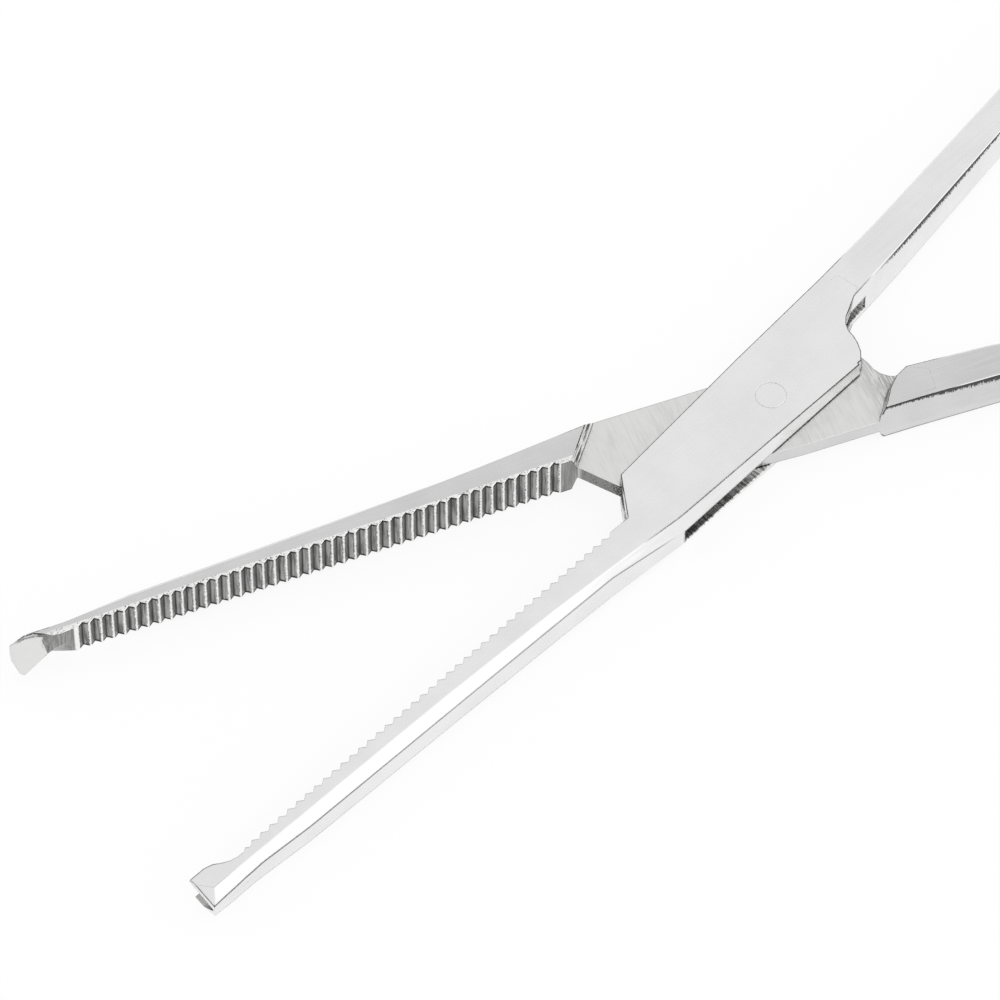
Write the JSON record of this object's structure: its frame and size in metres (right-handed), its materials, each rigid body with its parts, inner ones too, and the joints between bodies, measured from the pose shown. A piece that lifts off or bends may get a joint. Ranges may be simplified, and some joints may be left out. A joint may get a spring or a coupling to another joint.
{
  "type": "dressing forceps",
  "caption": "Ring-handled steel forceps with a box lock, cross-serrated jaws and interlocking tip teeth.",
  "frame": {"origin": "on the pin's axis, in the plane of the lower faces that the forceps lies on", "axes": "+Z along the pin and up, +X from the joint to the finger rings along the line that halves the opening, +Y towards the ring of the half with the box"},
  "size_m": [0.1928, 0.1038, 0.0047],
  "materials": {
    "polished_steel": "fine polish with dark milled slot and serrations",
    "brushed_steel": "fine brushing, streaked on the milled web",
    "pin_steel": "ground flush and polished"
  },
  "bodies": {
    "box_body": {"box_half": "polished_steel", "joint_pin": "pin_steel"},
    "inner_body": {"inner_half": "brushed_steel"}
  },
  "joints": [
    {"name": "box_lock", "type": "hinge", "parent": "box_body", "child": "inner_body", "pos_m": [0, 0, 0.00235], "axis": [0, 0, 1], "range_deg": [-12, 23.75]}
  ]
}
